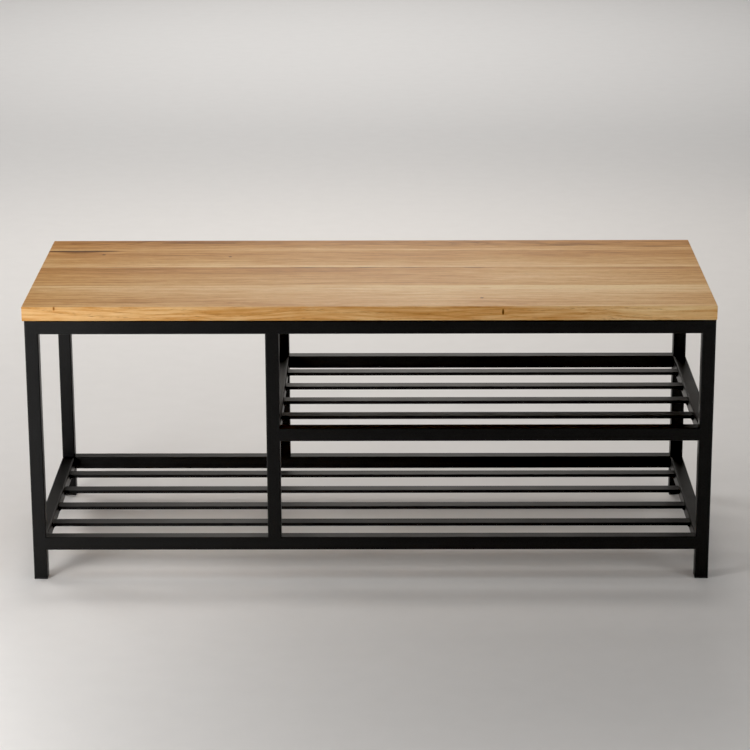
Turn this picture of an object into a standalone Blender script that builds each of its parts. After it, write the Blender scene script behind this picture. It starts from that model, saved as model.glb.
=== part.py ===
"""Entryway bench: an oak seat screwed to a welded frame of square steel tube.

The frame holds two slatted shelves.  The lower one runs the whole length of
the bench.  The upper one fills the bay to the right of the two short posts,
so the bay on the left stays tall enough for boots.

Units are metres and +Z is up.  The origin is at floor level under the centre
of the seat.  X runs along the bench and the front is at -Y.
"""

import math

import bmesh
import bpy
from mathutils import Matrix, Vector

# Clearance between pieces that touch on the real bench.
GAP = 0.0003

# Oak seat: staves glued edge to edge, listed from the front to the back.
SEAT_LENGTH = 1.004
SEAT_THICKNESS = 0.021
STAVE_WIDTHS = (0.121, 0.111, 0.106, 0.066)
SEAT_DEPTH = sum(STAVE_WIDTHS)
SEAT_EASING = 0.0008

# Frame of square tube.  The seat sits a little to the left and to the rear.
FRAME_LENGTH = 1.000
FRAME_DEPTH = 0.400
FRAME_TOP = 0.397
FRAME_SHIFT = (0.001, -0.002, 0.0)
TUBE = 0.020
TUBE_WALL = 0.0015
TUBE_CORNER = 0.002
CORNER_STEPS = 4

# Shelf heights are the tops of the rails; the posts stand left of the middle.
LOWER_SHELF_TOP = 0.0656
UPPER_SHELF_TOP = 0.2342
POST_LEFT_FACE = -0.152

# Flat-bar slats, let in a little below the tops of the rails.
SLATS_PER_SHELF = 4
SLAT_WIDTH = 0.020
SLAT_THICKNESS = 0.005
SLAT_DROP = 0.0048
SLAT_EASING = 0.0005

# Moulded caps: a sole under each leg and a spigot that plugs the tube.
SOLE_THICKNESS = 0.002
SOLE_ROUNDING = 0.0008
SPIGOT_HEIGHT = 0.012

# Steel tabs under the seat, and the pan-head wood screws that go through them.
TAB_SPACING = 0.380
TAB_WIDTH = 0.030
TAB_REACH = 0.025
TAB_THICKNESS = 0.003
TAB_HOLE_REACH = 0.013
TAB_HOLE_RADIUS = 0.0028
TAB_CORNER = 0.004
SCREW_RADIUS = 0.00225
SCREW_HEAD_RADIUS = 0.0045
SCREW_HEAD_HEIGHT = 0.0026
SCREW_LENGTH = 0.018
SCREW_POINT = 0.004
RECESS_SPAN = 0.0046
RECESS_SLOT = 0.0011
RECESS_DEPTH = 0.0015
PILOT_DEPTH = 0.017
ROUND_STEPS = 16

# Heights and half sizes that follow from the sizes above.
SEAT_BOTTOM = FRAME_TOP + GAP
LEG_BOTTOM = SOLE_THICKNESS + GAP
TAB_BOTTOM = FRAME_TOP - TAB_THICKNESS
HALF_TUBE = TUBE / 2
LEG_X = FRAME_LENGTH / 2 - HALF_TUBE
LEG_Y = FRAME_DEPTH / 2 - HALF_TUBE
POST_X = POST_LEFT_FACE + HALF_TUBE

SIDES = (("left", -1), ("right", 1))
ENDS = (("front", -1), ("rear", 1))


def clear_scene():
    """Remove whatever objects the file holds."""
    for item in list(bpy.data.objects):
        bpy.data.objects.remove(item, do_unlink=True)


def make_collection(name):
    """Add a collection to the scene and return it."""
    group = bpy.data.collections.new(name)
    bpy.context.scene.collection.children.link(group)
    return group


def make_material(name, colour, roughness, metallic=0.0):
    """Return a Principled material of one finish."""
    finish = bpy.data.materials.new(name)
    finish.use_nodes = True
    shader = finish.node_tree.nodes["Principled BSDF"]
    shader.inputs["Base Color"].default_value = (*colour, 1.0)
    shader.inputs["Roughness"].default_value = roughness
    shader.inputs["Metallic"].default_value = metallic
    finish.diffuse_color = (*colour, 1.0)
    return finish


def add_object(name, data, group, finish=None, parent=None):
    """Put mesh or curve data in the scene as one named object."""
    piece = bpy.data.objects.new(name, data)
    group.objects.link(piece)
    if finish is not None:
        data.materials.append(finish)
    piece.parent = parent
    return piece


def add_cutter(name, mesh):
    """Put a cutting shape in the cutters' collection, out of the render."""
    cutter = add_object(name, mesh, cutters)
    cutter.hide_render = True
    cutter.display_type = "WIRE"
    return cutter


def box_mesh(name, size, centre=(0, 0, 0)):
    """Return a box of the given size, with its centre where asked."""
    mesh = bpy.data.meshes.new(name)
    shape = bmesh.new()
    bmesh.ops.create_cube(shape, size=1.0)
    bmesh.ops.scale(shape, vec=size, verts=shape.verts)
    bmesh.ops.translate(shape, vec=centre, verts=shape.verts)
    shape.to_mesh(mesh)
    shape.free()
    return mesh


def cylinder_mesh(name, radius, height):
    """Return a capped upright cylinder, centred on its origin."""
    mesh = bpy.data.meshes.new(name)
    shape = bmesh.new()
    bmesh.ops.create_cone(
        shape, cap_ends=True, segments=ROUND_STEPS, radius1=radius, radius2=radius, depth=height
    )
    shape.to_mesh(mesh)
    shape.free()
    return mesh


def cut(piece, cutter, operation="DIFFERENCE"):
    """Combine a piece with a cutter by an exact Boolean."""
    boolean = piece.modifiers.new(cutter.name, "BOOLEAN")
    boolean.operation = operation
    boolean.solver = "EXACT"
    boolean.object = cutter


def round_edges(piece, width, steps, wanted):
    """Bevel the edges whose middle point, in the piece's own space, is wanted."""
    mesh = piece.data
    weights = mesh.attributes.new("bevel_weight_edge", "FLOAT", "EDGE")
    for edge in mesh.edges:
        first, second = (mesh.vertices[index].co for index in edge.vertices)
        weights.data[edge.index].value = float(wanted((first + second) / 2))
    bevel = piece.modifiers.new("Rounded edges", "BEVEL")
    bevel.limit_method = "WEIGHT"
    bevel.width = width
    bevel.segments = steps


def rounded_corners(half_x, half_y, radius, steps):
    """Return the points round a rectangle whose corners are arcs."""
    points = []
    for quarter, (sign_x, sign_y) in enumerate(((1, 1), (-1, 1), (-1, -1), (1, -1))):
        for step in range(steps + 1):
            angle = math.radians(90) * (quarter + step / steps)
            x = sign_x * (half_x - radius) + radius * math.cos(angle)
            y = sign_y * (half_y - radius) + radius * math.sin(angle)
            points.append((x, y))
    return points


def outline_curve(name, outlines, thickness):
    """Return a filled flat curve, extruded to a thickness about its own plane."""
    curve = bpy.data.curves.new(name, "CURVE")
    curve.dimensions = "2D"
    curve.fill_mode = "BOTH"
    curve.extrude = thickness / 2
    for points in outlines:
        spline = curve.splines.new("POLY")
        spline.points.add(len(points) - 1)
        spline.use_cyclic_u = True
        for knot, (x, y) in zip(spline.points, points):
            knot.co = (x, y, 0.0, 1.0)
    return curve


def add_tube(name, start, end):
    """Add a hollow square tube whose centre line runs from start to end."""
    start, end = Vector(start), Vector(end)
    run = end - start
    inner = HALF_TUBE - TUBE_WALL
    outlines = (
        rounded_corners(HALF_TUBE, HALF_TUBE, TUBE_CORNER, CORNER_STEPS),
        rounded_corners(inner, inner, TUBE_CORNER - TUBE_WALL, 1),
    )
    curve = outline_curve(name, outlines, run.length)
    tube = add_object(name, curve, bench, powder_coat, frame)
    tube.location = (start + end) / 2
    if abs(run.x) > GAP:
        tube.rotation_euler.y = math.radians(90)
    elif abs(run.y) > GAP:
        tube.rotation_euler.x = math.radians(90)
    return tube


def add_legs():
    """Four legs run from the caps to the underside of the seat."""
    for end, sign_y in ENDS:
        for side, sign_x in SIDES:
            x, y = sign_x * LEG_X, sign_y * LEG_Y
            add_tube(f"leg_{end}_{side}", (x, y, LEG_BOTTOM), (x, y, FRAME_TOP))


def add_rail_ring(prefix, top, left_x, right_x):
    """Four rails at one height, butted to the uprights at their corners."""
    z = top - HALF_TUBE
    clear = HALF_TUBE + GAP
    for end, sign_y in ENDS:
        y = sign_y * LEG_Y
        add_tube(f"{prefix}_rail_{end}", (left_x + clear, y, z), (right_x - clear, y, z))
    for side, x in (("left", left_x), ("right", right_x)):
        add_tube(f"{prefix}_rail_{side}", (x, -LEG_Y + clear, z), (x, LEG_Y - clear, z))


def add_posts():
    """Two short posts stand on the lower rails and carry the upper shelf."""
    bottom = LOWER_SHELF_TOP + GAP
    top = FRAME_TOP - TUBE - GAP
    for end, sign_y in ENDS:
        y = sign_y * LEG_Y
        add_tube(f"post_{end}", (POST_X, y, bottom), (POST_X, y, top))


def add_slats(prefix, shelf_top, left_x, right_x):
    """Flat bars, evenly spaced between the front rail and the rear rail."""
    length = right_x - left_x - TUBE - 2 * GAP
    middle_x = (left_x + right_x) / 2
    z = shelf_top - SLAT_DROP - SLAT_THICKNESS / 2
    space = FRAME_DEPTH - 2 * TUBE
    opening = (space - SLATS_PER_SHELF * SLAT_WIDTH) / (SLATS_PER_SHELF + 1)
    for number in range(SLATS_PER_SHELF):
        name = f"{prefix}_slat_{number + 1}"
        mesh = box_mesh(name, (length, SLAT_WIDTH, SLAT_THICKNESS))
        slat = add_object(name, mesh, bench, powder_coat, frame)
        step = opening + SLAT_WIDTH
        y = -space / 2 + opening + SLAT_WIDTH / 2 + number * step
        slat.location = (middle_x, y, z)
        round_edges(slat, SLAT_EASING, 2, lambda middle: abs(middle.x) < SLAT_EASING)


def add_foot_caps():
    """A cap closes each leg: its sole meets the floor and its spigot grips the tube."""
    spigot_size = TUBE - 2 * TUBE_WALL - 2 * GAP
    spigot_centre = (0, 0, SOLE_THICKNESS + SPIGOT_HEIGHT / 2 - GAP)
    spigot = add_cutter(
        "foot_spigot", box_mesh("foot_spigot", (spigot_size, spigot_size, SPIGOT_HEIGHT))
    )
    for end, sign_y in ENDS:
        for side, sign_x in SIDES:
            name = f"foot_cap_{end}_{side}"
            mesh = box_mesh(name, (TUBE, TUBE, SOLE_THICKNESS), (0, 0, SOLE_THICKNESS / 2))
            cap = add_object(name, mesh, bench, black_nylon, frame)
            cap.location = (sign_x * LEG_X, sign_y * LEG_Y, 0)
            upper_edges = SOLE_THICKNESS - GAP
            round_edges(cap, SOLE_ROUNDING, 3, lambda middle: middle.z < upper_edges)
            plug = add_cutter(f"spigot_{end}_{side}", spigot.data.copy())
            plug.parent = frame
            plug.location = cap.location + Vector(spigot_centre)
            cut(cap, plug, "UNION")
    bpy.data.objects.remove(spigot)


def fixing_places():
    """Yield the name, X, Y of the hole, and inward direction of each seat tab."""
    for end, sign_y in ENDS:
        inner_face = sign_y * (FRAME_DEPTH / 2 - TUBE)
        for side, place in (("left", -1), ("middle", 0), ("right", 1)):
            yield f"{end}_{side}", place * TAB_SPACING, inner_face - sign_y * TAB_HOLE_REACH, -sign_y


def add_tab(name, x, hole_y, inward):
    """A flat tab, welded to the inner face of a top rail, with one screw hole."""
    reach = TAB_REACH - GAP
    plate = rounded_corners(TAB_WIDTH / 2, reach / 2, TAB_CORNER, CORNER_STEPS)
    hole_offset = inward * (TAB_HOLE_REACH - GAP - reach / 2)
    turn = math.tau / ROUND_STEPS
    hole = [
        (
            TAB_HOLE_RADIUS * math.cos(step * turn),
            hole_offset + TAB_HOLE_RADIUS * math.sin(step * turn),
        )
        for step in range(ROUND_STEPS)
    ]
    curve = outline_curve(name, (plate, hole), TAB_THICKNESS)
    tab = add_object(name, curve, bench, powder_coat, frame)
    tab.location = (x, hole_y - hole_offset, TAB_BOTTOM + TAB_THICKNESS / 2)


def screw_mesh(name):
    """Return the turned profile of a pan-head wood screw, point up."""
    bevel = SCREW_HEAD_HEIGHT * 0.35
    profile = (
        (0, SCREW_LENGTH),
        (SCREW_RADIUS, SCREW_LENGTH - SCREW_POINT),
        (SCREW_RADIUS, 0),
        (SCREW_HEAD_RADIUS, 0),
        (SCREW_HEAD_RADIUS, bevel - SCREW_HEAD_HEIGHT),
        (SCREW_HEAD_RADIUS * 0.8, -SCREW_HEAD_HEIGHT),
        (0, -SCREW_HEAD_HEIGHT),
    )
    mesh = bpy.data.meshes.new(name)
    edges = [(index, index + 1) for index in range(len(profile) - 1)]
    mesh.from_pydata([(x, 0, z) for x, z in profile], edges, [])
    return mesh


def add_screw(name, x, y):
    """A screw through a tab, its head below the tab and its point in the seat."""
    screw = add_object(name, screw_mesh(name), bench, zinc_plate, frame)
    screw.location = (x, y, TAB_BOTTOM - GAP)
    turned = screw.modifiers.new("Turned", "SCREW")
    turned.steps = ROUND_STEPS
    turned.render_steps = ROUND_STEPS
    turned.use_merge_vertices = True
    turned.merge_threshold = 0.00005
    for number, size in enumerate(((RECESS_SPAN, RECESS_SLOT), (RECESS_SLOT, RECESS_SPAN))):
        blade = add_cutter(
            f"{name}_recess_{number}", box_mesh(f"{name}_recess_{number}", (*size, 2 * RECESS_DEPTH))
        )
        blade.parent = frame
        blade.location = screw.location - Vector((0, 0, SCREW_HEAD_HEIGHT))
        cut(screw, blade)


def add_fixings():
    """Tabs along the front and rear top rails, each with its screw."""
    for place, x, y, inward in fixing_places():
        add_tab(f"seat_tab_{place}", x, y, inward)
        add_screw(f"seat_screw_{place}", x, y)


def on_seat_arris(middle, front_y, back_y):
    """Tell whether an edge's middle lies on an outer edge of the whole seat."""
    at_end = abs(middle.x) > SEAT_LENGTH / 2 - GAP
    at_front = middle.y < front_y + GAP and front_y < GAP - SEAT_DEPTH / 2
    at_back = middle.y > back_y - GAP and back_y > SEAT_DEPTH / 2 - GAP
    at_face = abs(middle.z) > SEAT_THICKNESS / 2 - GAP
    return at_end + at_front + at_back + at_face > 1


def add_staves():
    """Oak staves side by side, with blind pilot holes for the screws underneath."""
    front_y = -SEAT_DEPTH / 2
    for number, width in enumerate(STAVE_WIDTHS, start=1):
        back_y = front_y + width
        first = GAP / 2 if number > 1 else 0.0
        last = GAP / 2 if number < len(STAVE_WIDTHS) else 0.0
        low, high = front_y + first, back_y - last
        name = f"seat_stave_{number}"
        mesh = box_mesh(name, (SEAT_LENGTH, high - low, SEAT_THICKNESS), (0, (low + high) / 2, 0))
        stave = add_object(name, mesh, bench, oak)
        stave.location.z = SEAT_BOTTOM + SEAT_THICKNESS / 2
        round_edges(stave, SEAT_EASING, 2, lambda middle: on_seat_arris(middle, low, high))
        for place, x, y, _ in fixing_places():
            hole_x, hole_y = x + FRAME_SHIFT[0], y + FRAME_SHIFT[1]
            if low < hole_y < high:
                pilot = add_cutter(
                    f"pilot_{place}", cylinder_mesh(f"pilot_{place}", SCREW_RADIUS + GAP, 2 * PILOT_DEPTH)
                )
                pilot.location = (hole_x, hole_y, SEAT_BOTTOM)
                cut(stave, pilot)
        front_y = back_y


clear_scene()
bench = make_collection("entryway_bench")
cutters = make_collection("cutters")

oak = make_material("oiled_oak", (0.56, 0.36, 0.18), 0.5)
powder_coat = make_material("black_powder_coated_steel", (0.012, 0.012, 0.013), 0.45)
black_nylon = make_material("black_moulded_nylon", (0.02, 0.02, 0.02), 0.5)
zinc_plate = make_material("zinc_plated_steel", (0.62, 0.63, 0.65), 0.35, 1.0)

frame = bpy.data.objects.new("frame_origin", None)
bench.objects.link(frame)
frame.location = FRAME_SHIFT

add_legs()
add_posts()
add_rail_ring("top", FRAME_TOP, -LEG_X, LEG_X)
add_rail_ring("lower", LOWER_SHELF_TOP, -LEG_X, LEG_X)
add_rail_ring("upper", UPPER_SHELF_TOP, POST_X, LEG_X)
add_slats("lower", LOWER_SHELF_TOP, -LEG_X, LEG_X)
add_slats("upper", UPPER_SHELF_TOP, POST_X, LEG_X)
add_foot_caps()
add_fixings()
add_staves()
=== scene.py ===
"""Looks for the entryway bench: oiled oak seat, powder-coated steel frame, welds, floor and light."""
import math

import bmesh
import bpy
from mathutils import Matrix, Vector


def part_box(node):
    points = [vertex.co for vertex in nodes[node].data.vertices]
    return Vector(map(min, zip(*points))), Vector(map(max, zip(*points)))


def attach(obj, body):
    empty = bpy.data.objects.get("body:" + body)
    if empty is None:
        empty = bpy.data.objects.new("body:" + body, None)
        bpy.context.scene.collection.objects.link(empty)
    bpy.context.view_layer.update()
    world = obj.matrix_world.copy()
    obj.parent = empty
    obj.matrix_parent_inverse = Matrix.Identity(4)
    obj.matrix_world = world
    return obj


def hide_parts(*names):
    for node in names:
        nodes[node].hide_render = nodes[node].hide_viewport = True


MM = 0.001

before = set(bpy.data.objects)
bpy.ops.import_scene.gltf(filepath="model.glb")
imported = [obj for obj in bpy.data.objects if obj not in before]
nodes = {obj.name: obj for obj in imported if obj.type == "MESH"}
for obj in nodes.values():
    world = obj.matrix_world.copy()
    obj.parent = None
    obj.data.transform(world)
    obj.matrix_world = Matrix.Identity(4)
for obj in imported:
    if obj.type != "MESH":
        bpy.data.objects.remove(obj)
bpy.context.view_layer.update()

# ---------------------------------------------------------------- measures shared with the frame

STAVES, SLATS = 4, 4
SEAT_LOW, SEAT_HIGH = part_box("seat_stave_1")[0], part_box(f"seat_stave_{STAVES}")[1]
# The gap that the frame leaves between neighbours, and the radius of its tubes' corners.
GAP = 0.3 * MM
TUBE_CORNER = 2.0 * MM


# ---------------------------------------------------------------- small tools


def linear(colour):
    """Turn an sRGB hex colour into linear red, green, blue and alpha."""
    parts = [int(colour[place : place + 2], 16) / 255 for place in (1, 3, 5)]
    return [part / 12.92 if part <= 0.04045 else ((part + 0.055) / 1.055) ** 2.4 for part in parts] + [1.0]


def add(tree, kind, sockets, **settings):
    """Add a node with its settings, set or link its sockets, and return its first live output."""
    item = tree.nodes.new(kind)
    for name, value in settings.items():
        setattr(item, name, value)
    for socket, value in sockets.items():
        if isinstance(value, bpy.types.NodeSocket):
            tree.links.new(value, item.inputs[socket])
        else:
            item.inputs[socket].default_value = value
    live = [output for output in item.outputs if output.enabled]
    return live[0] if live else item


def new_material(name):
    """Start an empty material, and return it with its tree and the object's own space in mm."""
    finish = bpy.data.materials.new(name)
    finish.use_nodes = True
    tree = finish.node_tree
    tree.nodes.clear()
    place = add(tree, "ShaderNodeTexCoord", {}).node.outputs["Object"]
    in_mm = add(tree, "ShaderNodeVectorMath", {0: place, 3: 1000.0}, operation="SCALE")
    return finish, tree, in_mm


def set_ramp(ramp, stops):
    """Give a colour ramp its stops: each is a position with an sRGB hex colour or a grey level."""
    elements = ramp.node.color_ramp.elements
    while len(elements) < len(stops):
        elements.new(0.5)
    for element, (position, shade) in zip(elements, stops):
        element.position = position
        element.color = linear(shade) if isinstance(shade, str) else (shade, shade, shade, 1.0)


def link_up(thing):
    """Put an object into the scene, and return it."""
    bpy.context.scene.collection.objects.link(thing)
    return thing


def new_mesh(name, shape, finish):
    """Make a bmesh into an object with one finish."""
    mesh = bpy.data.meshes.new(name)
    shape.to_mesh(mesh)
    shape.free()
    mesh.materials.append(finish)
    return link_up(bpy.data.objects.new(name, mesh))


def new_piece(name, shape, finish, body="root"):
    """Make a bmesh into a piece that rides on a CAD body."""
    piece = new_mesh(name, shape, finish)
    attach(piece, body)
    return piece


def add_block(shape, low, high):
    """Add a block between two corners to a bmesh, and return its vertices."""
    made = bmesh.ops.create_cube(shape, size=1.0)["verts"]
    bmesh.ops.scale(shape, vec=high - low, verts=made)
    bmesh.ops.translate(shape, vec=(high + low) / 2, verts=made)
    return made


# ---------------------------------------------------------------- camera

# A long lens from a little above seat height, level with the middle of the bench.
LENS = 129.2
CAMERA_PLACE = (0.0312, -3.9478, 1.4247)
CAMERA_TURN, CAMERA_TILT, CAMERA_ROLL = 0.354, -16.496, -0.191

camera_data = bpy.data.cameras.new("camera")
camera_data.lens = LENS
camera_data.sensor_width = 36.0
camera_data.clip_end = 60.0
camera = link_up(bpy.data.objects.new("camera", camera_data))
camera.matrix_world = (
    Matrix.Translation(CAMERA_PLACE)
    @ Matrix.Rotation(math.radians(CAMERA_TURN), 4, "Z")
    @ Matrix.Rotation(math.radians(90 + CAMERA_TILT), 4, "X")
    @ Matrix.Rotation(math.radians(CAMERA_ROLL), 4, "Z")
)
bpy.context.scene.camera = camera


# ---------------------------------------------------------------- oiled oak

# Oiled oak, planed, sanded and wiped with clear oil: a warm satin surface whose growth
# rings, open pores and flecks run along X, and show as arcs on the sawn ends.  All of it
# is worked out in the log's own space, so the face, the edge and the end agree.
#
# Each stave, all in mm from the bench's origin: the pith's Y and Z, the log's lean in
# degrees, the spacing of its rings, the tone across its width from its front edge to its
# back edge, and its marks: centre, half size, and how far each lightens or darkens the wood.
THROUGH = 40
STAVE_LOGS = (
    {
        "pith": (-470, 330),
        "lean": (0.6, -1.2),
        "rings": 3.4,
        "across": (0.56, 0.50, 0.46, 0.50, 0.64, 0.78),
        "marks": (
            ((-355, -178, 418), (80, 9, THROUGH), -0.20),
            ((-190, -186, 418), (130, 7, THROUGH), -0.18),
            ((164, -154, 418), (4.0, 3.5, 8), -1.2),
            ((193, -92, 418), (30, 11, THROUGH), 0.28),
            ((170, -96, 418), (18, 4, THROUGH), -0.30),
            ((193, -202, 410), (2.2, 7, 6), -1.1),
            ((-455, -202, 416), (2.2, 6, 5), -0.6),
            ((430, -202, 408), (180, 12, THROUGH), 0.20),
            ((-430, -202, 408), (200, 12, THROUGH), 0.06),
            ((330, -120, 418), (340, 110, THROUGH), 0.24),
            ((-280, -120, 418), (320, 110, THROUGH), 0.10),
            # This broad lightening in the middle of the front stave's top is painted sheen, not a tone of
            # the wood.
            ((20, -130, 418), (260, 90, THROUGH), 0.16),
            ((-60, -202, 408), (240, 12, THROUGH), 0.02),
        ),
    },
    {
        "pith": (330, 240),
        "lean": (-0.5, 0.9),
        "rings": 2.6,
        "across": (0.58, 0.54, 0.50, 0.45, 0.42, 0.38),
        "marks": (
            ((-420, 18, 418), (130, 8, THROUGH), -0.12),
            ((-195, 26, 418), (34, 3.6, THROUGH), -0.32),
            ((-100, 25, 418), (28, 3.0, THROUGH), -0.28),
            ((-8, 27, 418), (26, 3.4, THROUGH), -0.36),
            ((62, 25, 418), (36, 3.6, THROUGH), -0.36),
            ((160, 26, 418), (30, 3.2, THROUGH), -0.32),
            ((430, 20, 418), (70, 8, THROUGH), -0.10),
            ((300, -20, 418), (300, 70, THROUGH), 0.22),
        ),
    },
    {
        "pith": (-230, 250),
        "lean": (0.4, 1.3),
        "rings": 3.0,
        "across": (0.84, 0.64, 0.52, 0.48, 0.46, 0.44),
        "marks": (
            ((-452, 133, 418), (84, 8.0, THROUGH), -1.25),
            ((-450, 123, 418), (50, 10, THROUGH), -0.40),
            ((-414, 110, 418), (3.6, 4.0, 8), -1.1),
            ((-217, 96, 418), (3.6, 4.0, 8), -1.0),
        ),
    },
    {
        "pith": (190, 300),
        "lean": (-0.8, -0.7),
        "rings": 2.8,
        "across": (0.70, 0.56, 0.42, 0.34, 0.30, 0.28),
        "marks": (
            ((-440, 182, 418), (75, 14, THROUGH), -0.16),
            ((-250, 188, 418), (60, 10, THROUGH), -0.16),
            ((330, 172, 418), (90, 9, THROUGH), -0.22),
            ((440, 160, 418), (60, 8, THROUGH), -0.22),
        ),
    },
)
OAK_TONES = (
    (0.00, "#603C1C"),
    (0.14, "#885726"),
    (0.32, "#AD773B"),
    (0.52, "#C79152"),
    (0.76, "#DAAE76"),
    (1.00, "#E9C894"),
)
PORE_COLOUR = "#80552E"
# About what the streaks and flecks add to the tone on average, taken off again.
STREAK_TONE = 0.64
# A mark up to this long, in mm, is a knot or a crack, and keeps its exact place.
SMALL_MARK = 10


def streaks(tree, space, size, detail, seed=0.0):
    """Noise stretched along the grain: size is its length, width and depth in mm."""
    scale = [1 / side for side in size]
    stretched = add(tree, "ShaderNodeMapping", {0: space, "Scale": scale, "Location": (seed, seed, 0)})
    return add(tree, "ShaderNodeTexNoise", {"Vector": stretched, "Scale": 1.0, "Detail": detail})


def bend_grain(tree, in_mm, number):
    """Space bent by the grain's slow wander, and space bent by a fifth of it, for the marks."""
    # The grain goes some 8 mm to the side over about 300 mm of length.
    sway = streaks(tree, in_mm, (300, 90, 90), 1.6, seed=number).node.outputs["Color"]
    centred = add(tree, "ShaderNodeVectorMath", {0: sway, 1: (0.5, 0.5, 0.5)}, operation="SUBTRACT")
    shift = add(tree, "ShaderNodeVectorMath", {0: centred, 1: (0.0, 26.0, 26.0)}, operation="MULTIPLY")
    wandered = add(tree, "ShaderNodeVectorMath", {0: in_mm, 1: shift}, operation="ADD")
    wobble = add(tree, "ShaderNodeVectorMath", {0: shift, 1: (0.2, 0.2, 0.2)}, operation="MULTIPLY")
    nearly = add(tree, "ShaderNodeVectorMath", {0: in_mm, 1: wobble}, operation="ADD")
    return wandered, nearly


def grow_rings(tree, wandered, log):
    """Unequal years round the pith: 1 at each one's dark porous start, 0 at its pale dense end."""
    # The pith is a line that leans a little against the sawn stave.
    lean_y, lean_z = (math.radians(angle) for angle in log["lean"])
    pith = {"Location": (0, -log["pith"][0], -log["pith"][1]), "Rotation": (0, lean_z, lean_y)}
    turned = add(tree, "ShaderNodeMapping", {0: wandered, **pith})
    across_log = add(tree, "ShaderNodeVectorMath", {0: turned, 1: (0, 1, 1)}, operation="MULTIPLY")
    radius = add(tree, "ShaderNodeVectorMath", {0: across_log}, operation="LENGTH").node.outputs["Value"]
    years = add(tree, "ShaderNodeMath", {0: radius, 1: log["rings"]}, operation="DIVIDE")
    weather = {"W": years, "Scale": 0.35, "Detail": 2.0}
    uneven = add(tree, "ShaderNodeTexNoise", weather, noise_dimensions="1D")
    stretched = add(tree, "ShaderNodeMath", {0: uneven, 1: 3.0, 2: years}, operation="MULTIPLY_ADD")
    season = add(tree, "ShaderNodeMath", {0: stretched}, operation="FRACT")
    fade = {"Value": season, "From Max": 0.45, "To Min": 1.0, "To Max": 0.0}
    return add(tree, "ShaderNodeMapRange", fade, interpolation_type="SMOOTHSTEP")


def open_pores(tree, wandered, porous):
    """Dark dashes about 6 mm long and 0.3 mm wide, crowded into the porous wood."""
    dashes = streaks(tree, wandered, (9, 0.6, 0.6), 2.0)
    crowding = {"Value": porous, "To Min": 0.12, "To Max": 0.50}
    crowded = add(tree, "ShaderNodeMapRange", crowding, interpolation_type="SMOOTHSTEP")
    cut = {"Value": dashes, "From Min": 0.52, "From Max": 0.66}
    opened = add(tree, "ShaderNodeMapRange", cut, interpolation_type="SMOOTHSTEP")
    return add(tree, "ShaderNodeMath", {0: opened, 1: crowded}, operation="MULTIPLY")


def streak_tone(tree, wandered, porous, number, low, high):
    """The tone across a stave, from its front edge to its back edge, with streaks and ray flecks."""
    side = add(tree, "ShaderNodeSeparateXYZ", {0: wandered}).node.outputs["Y"]
    share = add(tree, "ShaderNodeMapRange", {"Value": side, "From Min": low / MM, "From Max": high / MM})
    tone = add(tree, "ShaderNodeValToRGB", {0: share})
    levels = STAVE_LOGS[number - 1]["across"]
    set_ramp(tone, [(index / (len(levels) - 1), level) for index, level in enumerate(levels)])

    # Streaks 16 mm, 3 mm and 1 mm wide, long along the grain, and short ray flecks.
    broad = streaks(tree, wandered, (420, 16, 16), 3.0, seed=7 * number)
    soft = streaks(tree, wandered, (170, 3.8, 3.8), 2.0, seed=3 * number)
    sharper = {"Value": soft, "From Min": 0.36, "From Max": 0.64}
    narrow = add(tree, "ShaderNodeMapRange", sharper, interpolation_type="SMOOTHSTEP")
    thread = streaks(tree, wandered, (60, 1.2, 1.2), 2.0)
    fleck = streaks(tree, wandered, (26, 5.0, 5.0), 2.0, seed=number)
    layers = ((broad, 0.50), (narrow, 0.20), (thread, 0.40), (fleck, 0.34), (porous, -0.08))
    for source, weight in layers:
        tone = add(tree, "ShaderNodeMath", {0: source, 1: weight, 2: tone}, operation="MULTIPLY_ADD")
    return add(tree, "ShaderNodeMath", {0: tone, 1: STREAK_TONE}, operation="SUBTRACT")


def add_mark(tree, tone, space, centre, half_size, change):
    """Lighten or darken the wood towards the middle of one mark."""
    scale = [1 / half for half in half_size]
    offset = [-middle / half for middle, half in zip(centre, half_size)]
    near = add(tree, "ShaderNodeMapping", {0: space, "Scale": scale, "Location": offset})
    distance = add(tree, "ShaderNodeVectorMath", {0: near}, operation="LENGTH").node.outputs["Value"]
    fade = {"Value": distance, "From Min": 0.1, "To Min": change, "To Max": 0.0}
    mark = add(tree, "ShaderNodeMapRange", fade, interpolation_type="SMOOTHSTEP")
    return add(tree, "ShaderNodeMath", {0: tone, 1: mark}, operation="ADD")


def oak(number, low, high):
    """Oiled oak for one stave, whose own width runs from low to high in Y."""
    log = STAVE_LOGS[number - 1]
    finish, tree, in_mm = new_material(f"oiled_oak_stave_{number}")
    wandered, nearly = bend_grain(tree, in_mm, number)
    porous = grow_rings(tree, wandered, log)
    pores = open_pores(tree, wandered, porous)
    tone = streak_tone(tree, wandered, porous, number, low, high)
    for centre, half_size, change in log["marks"]:
        space = nearly if half_size[0] > SMALL_MARK else in_mm
        tone = add_mark(tree, tone, space, centre, half_size, change)
    colour = add(tree, "ShaderNodeValToRGB", {0: tone})
    set_ramp(colour, OAK_TONES)
    shaded = {0: pores, 6: colour, 7: linear(PORE_COLOUR)}
    wood = add(tree, "ShaderNodeMix", shaded, data_type="RGBA", blend_type="MIX")

    # The oil leaves a satin film that sinks into the pores.
    gloss = add(tree, "ShaderNodeMapRange", {"Value": pores, "To Min": 0.38, "To Max": 0.56})
    relief = add(tree, "ShaderNodeMath", {0: pores, 1: -1.0}, operation="MULTIPLY")
    bump = add(tree, "ShaderNodeBump", {"Height": relief, "Strength": 0.35, "Distance": 0.1 * MM})
    film = {"Base Color": wood, "Roughness": gloss, "Normal": bump, "IOR": 1.5, "Specular IOR Level": 0.09}
    shader = add(tree, "ShaderNodeBsdfPrincipled", film)
    add(tree, "ShaderNodeOutputMaterial", {"Surface": shader})
    return finish


# ---------------------------------------------------------------- metal and plastic

# These noises are in cells per mm, so a pattern's size in mm is one over its scale.


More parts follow.
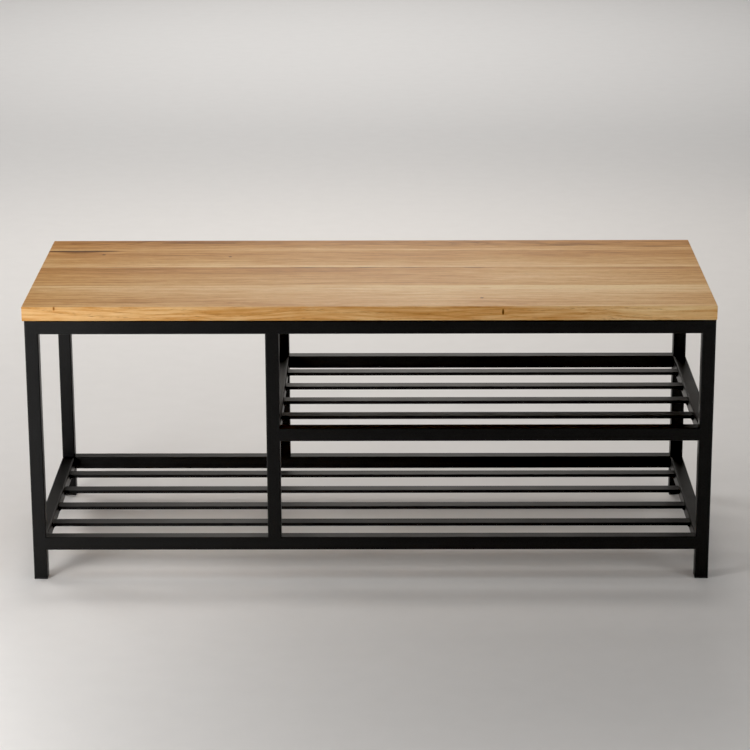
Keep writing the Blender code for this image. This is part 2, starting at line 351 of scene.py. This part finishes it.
def powder_coat():
    """Black polyester powder baked on steel tube: satin, with the faint orange peel of melted powder."""
    finish, tree, in_mm = new_material("black_powder_coat_on_steel")
    peel = add(tree, "ShaderNodeTexNoise", {"Vector": in_mm, "Scale": 0.45, "Detail": 2.0})
    grain = add(tree, "ShaderNodeTexNoise", {"Vector": in_mm, "Scale": 2.2, "Detail": 1.0})
    height = add(tree, "ShaderNodeMath", {0: grain, 1: 0.35, 2: peel}, operation="MULTIPLY_ADD")
    bump = add(tree, "ShaderNodeBump", {"Height": height, "Strength": 0.3, "Distance": 0.12 * MM})
    # The sheen changes over a hand's breadth, with the thickness of the powder.
    powder = add(tree, "ShaderNodeTexNoise", {"Vector": in_mm, "Scale": 0.012, "Detail": 3.0})
    sheen = {"Value": powder, "From Min": 0.3, "From Max": 0.7, "To Min": 0.36, "To Max": 0.46}
    gloss = add(tree, "ShaderNodeMapRange", sheen)
    colour = add(tree, "ShaderNodeValToRGB", {0: peel})
    set_ramp(colour, ((0.3, "#070707"), (0.7, "#111111")))
    film = {"Base Color": colour, "Roughness": gloss, "Normal": bump, "IOR": 1.5, "Specular IOR Level": 0.32}
    shader = add(tree, "ShaderNodeBsdfPrincipled", film)
    add(tree, "ShaderNodeOutputMaterial", {"Surface": shader})
    return finish


def moulded_nylon():
    """Black nylon, injection moulded with a fine spark-eroded grain: duller than the coat above it."""
    finish, tree, in_mm = new_material("black_moulded_nylon")
    grain = add(tree, "ShaderNodeTexNoise", {"Vector": in_mm, "Scale": 3.0, "Detail": 2.0})
    bump = add(tree, "ShaderNodeBump", {"Height": grain, "Strength": 0.3, "Distance": 0.05 * MM})
    colour = add(tree, "ShaderNodeValToRGB", {0: grain})
    set_ramp(colour, ((0.3, "#161616"), (0.7, "#1E1E1E")))
    skin = {"Base Color": colour, "Roughness": 0.55, "Normal": bump, "IOR": 1.53}
    shader = add(tree, "ShaderNodeBsdfPrincipled", skin)
    add(tree, "ShaderNodeOutputMaterial", {"Surface": shader})
    return finish


def zinc_plate():
    """Bright zinc on a rolled steel screw: pale metal with a cloudy, slightly brushed shine."""
    finish, tree, in_mm = new_material("zinc_plated_steel")
    cloud = add(tree, "ShaderNodeTexNoise", {"Vector": in_mm, "Scale": 0.9, "Detail": 3.0})
    gloss = add(tree, "ShaderNodeMapRange", {"Value": cloud, "To Min": 0.22, "To Max": 0.42})
    colour = add(tree, "ShaderNodeValToRGB", {0: cloud})
    set_ramp(colour, ((0.3, "#B9BCBF"), (0.7, "#D2D4D6")))
    plate = {"Base Color": colour, "Roughness": gloss, "Metallic": 1.0}
    shader = add(tree, "ShaderNodeBsdfPrincipled", plate)
    add(tree, "ShaderNodeOutputMaterial", {"Surface": shader})
    return finish


coat, nylon, zinc = powder_coat(), moulded_nylon(), zinc_plate()
# An edge that turns by more than this stays sharp, on the frame and on its welds.
FRAME_SHARP, WELD_SHARP = math.radians(30), math.radians(40)


def finish_nodes():
    """Give every carried-over node its finish and smooth its rounded corners."""
    for name, node in nodes.items():
        if name.startswith("foot_cap"):
            finish = nylon
        elif name.startswith("seat_screw"):
            finish = zinc
        else:
            finish = coat
        node.data.materials.clear()
        node.data.materials.append(finish)
        node.data.shade_smooth()
        node.data.set_sharp_from_angle(angle=FRAME_SHARP)


# ---------------------------------------------------------------- seat

EASING, EASING_STEPS = 0.8 * MM, 3
GLUE_LINE = 0.01 * MM


def outer_edges(shape):
    """Find the edges of one stave that are also edges of the whole seat."""
    middle_height = (SEAT_LOW.z + SEAT_HIGH.z) / 2
    half_height = (SEAT_HIGH.z - SEAT_LOW.z) / 2
    outer = []
    for edge in shape.edges:
        middle = (edge.verts[0].co + edge.verts[1].co) / 2
        sides = (
            abs(middle.x) > SEAT_HIGH.x - MM,
            middle.y < SEAT_LOW.y + MM or middle.y > SEAT_HIGH.y - MM,
            abs(middle.z - middle_height) > half_height - MM,
        )
        if sum(sides) > 1:
            outer.append(edge)
    return outer


def build_staves():
    """Sanded staves that meet flush, with the seat's outer arrises eased by hand."""
    easing = {"offset": EASING, "segments": EASING_STEPS, "profile": 0.5, "affect": "EDGES"}
    for number in range(1, STAVES + 1):
        low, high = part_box(f"seat_stave_{number}")
        low, high = low.copy(), high.copy()
        if number > 1:
            low.y -= GAP / 2 - GLUE_LINE
        if number < STAVES:
            high.y += GAP / 2 - GLUE_LINE
        shape = bmesh.new()
        add_block(shape, low, high)
        bmesh.ops.bevel(shape, geom=outer_edges(shape), **easing)
        stave = new_piece(f"oak_stave_{number}", shape, oak(number, low.y, high.y))
        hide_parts(f"seat_stave_{number}")


# ---------------------------------------------------------------- welds

# Every tube end is welded all round and ground flush before it is coated; the flat bars
# and the seat tabs keep their rippled fillets, which only show from below.
# A ground weld runs this far into the tube beside it.
SINK = TUBE_CORNER
CORNER_STEPS = 4
# Each fillet's leg, and how far it stops short of its bar's or tab's corners.
SLAT_FILLET, SLAT_FILLET_INSET = 4.0 * MM, 1.5 * MM
TAB_FILLET, TAB_FILLET_INSET = 2.5 * MM, 3 * MM
RIPPLE_PITCH, RIPPLE_HEIGHT, RIPPLE_STEPS = 1.6 * MM, 0.07, 4
# A fillet starts and stops at this share of its leg, and fills out at this rate.
FILLET_START, FILLET_RISE = 0.55, 6
# A power of 1 makes a fillet's face a quarter round, and 2 makes it flat.
FILLET_FACE, FILLET_STEPS = 1.4, 4


def ground_weld(shape, tube, axis, side):
    """Fill the groove between a tube's end and its neighbour, flush with both."""
    low, high = (corner.copy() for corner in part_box(tube))
    if side > 0:
        low[axis], high[axis] = high[axis], high[axis] + GAP + SINK
    else:
        low[axis], high[axis] = low[axis] - GAP - SINK, low[axis]
    edges = {edge for vertex in add_block(shape, low, high) for edge in vertex.link_edges}
    along = [edge for edge in edges if abs((edge.verts[0].co - edge.verts[1].co)[axis]) > GAP]
    rounding = {"offset": TUBE_CORNER, "segments": CORNER_STEPS, "profile": 0.5, "affect": "EDGES"}
    bmesh.ops.bevel(shape, geom=along, **rounding)


def fillet_weld(shape, start, end, out, down, leg):
    """Lay a rippled fillet along an inner corner whose two faces run out and down."""
    run = end - start
    count = max(2 * RIPPLE_STEPS, round(run.length / RIPPLE_PITCH) * RIPPLE_STEPS)
    rings = []
    for step in range(count + 1):
        share = step / count
        ripple = 1.0 + RIPPLE_HEIGHT * math.sin(math.tau * share * run.length / RIPPLE_PITCH)
        taper = min(1.0, FILLET_START + FILLET_RISE * min(share, 1 - share))
        size = leg * ripple * taper
        corner = start + run * share
        arc = [corner]
        for turn in range(FILLET_STEPS + 1):
            angle = math.radians(90) * turn / FILLET_STEPS
            face = out * math.cos(angle) ** FILLET_FACE + down * math.sin(angle) ** FILLET_FACE
            arc.append(corner + size * face)
        rings.append([shape.verts.new(point) for point in arc])
    sides = len(rings[0])
    for first, second in zip(rings, rings[1:]):
        for index in range(sides):
            following = (index + 1) % sides
            shape.faces.new((first[index], first[following], second[following], second[index]))
    shape.faces.new(list(reversed(rings[0])))
    shape.faces.new(rings[-1])


def finish_weld(name, shape):
    """Turn laid weld metal into a coated piece of the frame."""
    bmesh.ops.recalc_face_normals(shape, faces=shape.faces)
    piece = new_piece(name, shape, coat)
    piece.data.shade_smooth()
    piece.data.set_sharp_from_angle(angle=WELD_SHARP)


def build_frame_welds():
    """Ground welds at both ends of every rail and post."""
    for ring in ("top", "lower", "upper"):
        shape = bmesh.new()
        for rail, axis in (("front", 0), ("rear", 0), ("left", 1), ("right", 1)):
            for side in (-1, 1):
                ground_weld(shape, f"{ring}_rail_{rail}", axis, side)
        finish_weld(f"{ring}_rail_welds", shape)
    shape = bmesh.new()
    for post in ("front", "rear"):
        for side in (-1, 1):
            ground_weld(shape, f"post_{post}", 2, side)
    finish_weld("post_welds", shape)


def build_slat_welds():
    """A fillet under each end of every flat bar, against the side rail."""
    for ring in ("lower", "upper"):
        shape = bmesh.new()
        for number in range(1, SLATS + 1):
            low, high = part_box(f"{ring}_slat_{number}")
            for x, side in ((low.x - GAP, 1), (high.x + GAP, -1)):
                start = Vector((x, low.y + SLAT_FILLET_INSET, low.z))
                end = Vector((x, high.y - SLAT_FILLET_INSET, low.z))
                fillet_weld(shape, start, end, Vector((side, 0, 0)), Vector((0, 0, -1)), SLAT_FILLET)
        finish_weld(f"{ring}_slat_welds", shape)


def build_tab_welds():
    """A fillet under each seat tab, against the inner face of the top rail."""
    shape = bmesh.new()
    for rail, side in (("front", 1), ("rear", -1)):
        for column in ("left", "middle", "right"):
            low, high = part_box(f"seat_tab_{rail}_{column}")
            face = low.y - GAP if side > 0 else high.y + GAP
            start = Vector((low.x + TAB_FILLET_INSET, face, low.z))
            end = Vector((high.x - TAB_FILLET_INSET, face, low.z))
            fillet_weld(shape, start, end, Vector((0, side, 0)), Vector((0, 0, -1)), TAB_FILLET)
    finish_weld("seat_tab_welds", shape)


# ---------------------------------------------------------------- stage and light

FLOOR_HALF_WIDTH = 20.0
# Where the large boxes are aimed, inside the frame, and those for sheen, at the seat.
FRAME_AIM, SEAT_AIM = (0.0, 0.0, 0.3), (0.05, 0.0, 0.4)
WHITE, WARM_WHITE = "#FFFFFF", "#FFF9F2"
# Each box's name, place, the point it faces, its width and height, its watts and its colour.
SOFTBOXES = (
    ("softbox_low_left", (-1.1, -1.0, 0.5), (-0.5, -0.2, 0.3), (0.5, 0.5), 11.2, WHITE),
    ("softbox_overhead", (0.2, -0.3, 2.8), FRAME_AIM, (2.8, 2.4), 19.0, WHITE),
    ("softbox_back_left", (-2.4, 1.4, 1.8), FRAME_AIM, (1.5, 1.5), 31.0, WHITE),
    ("fill_right", (1.6, -1.3, 0.6), (0.3, -0.2, 0.3), (0.8, 0.8), 8.0, WHITE),
    ("sheen_high", (0.05, 2.1, 1.7), SEAT_AIM, (1.5, 1.0), 15.4, WARM_WHITE),
    ("sheen_low", (0.05, 2.2, 1.4), SEAT_AIM, (0.6, 0.4), 2.4, WARM_WHITE),
)
# Gridded boxes light the rest of the floor, out of the bench's reach, for the other sides.
GRID_DISTANCE, GRID_HEIGHT, GRID_SIZE = 8.6, 3.0, 9.0
GRID_POWER, GRID_ANGLE = 150.0, math.radians(90)
ROOM_LIGHT = 0.05
# Light below this share of white is shown as black.
BLACK_POINT = 0.008


def build_floor():
    """Uncoated studio paper, rolled out wide enough to hide its edge: dead matt, with faint cloudy pulp."""
    shape = bmesh.new()
    bmesh.ops.create_grid(shape, x_segments=1, y_segments=1, size=FLOOR_HALF_WIDTH)
    finish, tree, in_mm = new_material("matt_studio_paper")
    pulp = add(tree, "ShaderNodeTexNoise", {"Vector": in_mm, "Scale": 0.025, "Detail": 4.0})
    colour = add(tree, "ShaderNodeValToRGB", {0: pulp})
    set_ramp(colour, ((0.3, "#DBD8D5"), (0.7, "#DDDAD7")))
    shader = add(tree, "ShaderNodeBsdfPrincipled", {"Base Color": colour, "Roughness": 0.8})
    add(tree, "ShaderNodeOutputMaterial", {"Surface": shader})
    floor = new_mesh("studio_floor", shape, finish)


def add_softbox(name, place, aim, size, power, colour):
    """A rectangular softbox that faces the point aimed at."""
    data = bpy.data.lights.new(name, "AREA")
    data.shape = "RECTANGLE"
    data.size, data.size_y = size
    data.energy = power
    data.color = linear(colour)[:3]
    light = link_up(bpy.data.objects.new(name, data))
    light.location = place
    light.rotation_euler = (Vector(aim) - Vector(place)).to_track_quat("-Z", "Y").to_euler()
    light.visible_camera = False
    return light


def light_bench():
    """Boxes at the front left, overhead and at the back left, a fill, and two behind for sheen."""
    for box in SOFTBOXES:
        add_softbox(*box)


def light_floor():
    """One box over the floor behind the bench and three gridded ones: none shows in a gloss."""
    wash = add_softbox("floor_wash", (-0.35, 4.7, 3.0), (-0.3, 4.8, 0.0), (3.0, 3.0), 114.0, WHITE)
    wash.visible_glossy = False
    grids = (("front", 0.0, -GRID_DISTANCE), ("left", -GRID_DISTANCE, 0.0), ("right", GRID_DISTANCE, 0.0))
    for side, x, y in grids:
        above, below = (x, y, GRID_HEIGHT), (x, y + 0.01, 0.0)
        grid = add_softbox(f"floor_wash_{side}", above, below, (GRID_SIZE, GRID_SIZE), GRID_POWER, WHITE)
        grid.data.spread = GRID_ANGLE
        grid.visible_glossy = False


def set_room():
    """A dim white room on a plain display."""
    world = bpy.data.worlds.new("studio")
    world.use_nodes = True
    background = world.node_tree.nodes["Background"]
    background.inputs["Color"].default_value = linear(WHITE)
    background.inputs["Strength"].default_value = ROOM_LIGHT
    scene = bpy.context.scene
    scene.world = world
    scene.view_settings.view_transform = "Standard"
    scene.view_settings.use_curve_mapping = True
    scene.view_settings.curve_mapping.black_level = (BLACK_POINT,) * 3
    scene.view_settings.curve_mapping.update()


finish_nodes()
build_staves()
build_frame_welds()
build_slat_welds()
build_tab_welds()
build_floor()
light_bench()
light_floor()
set_room()
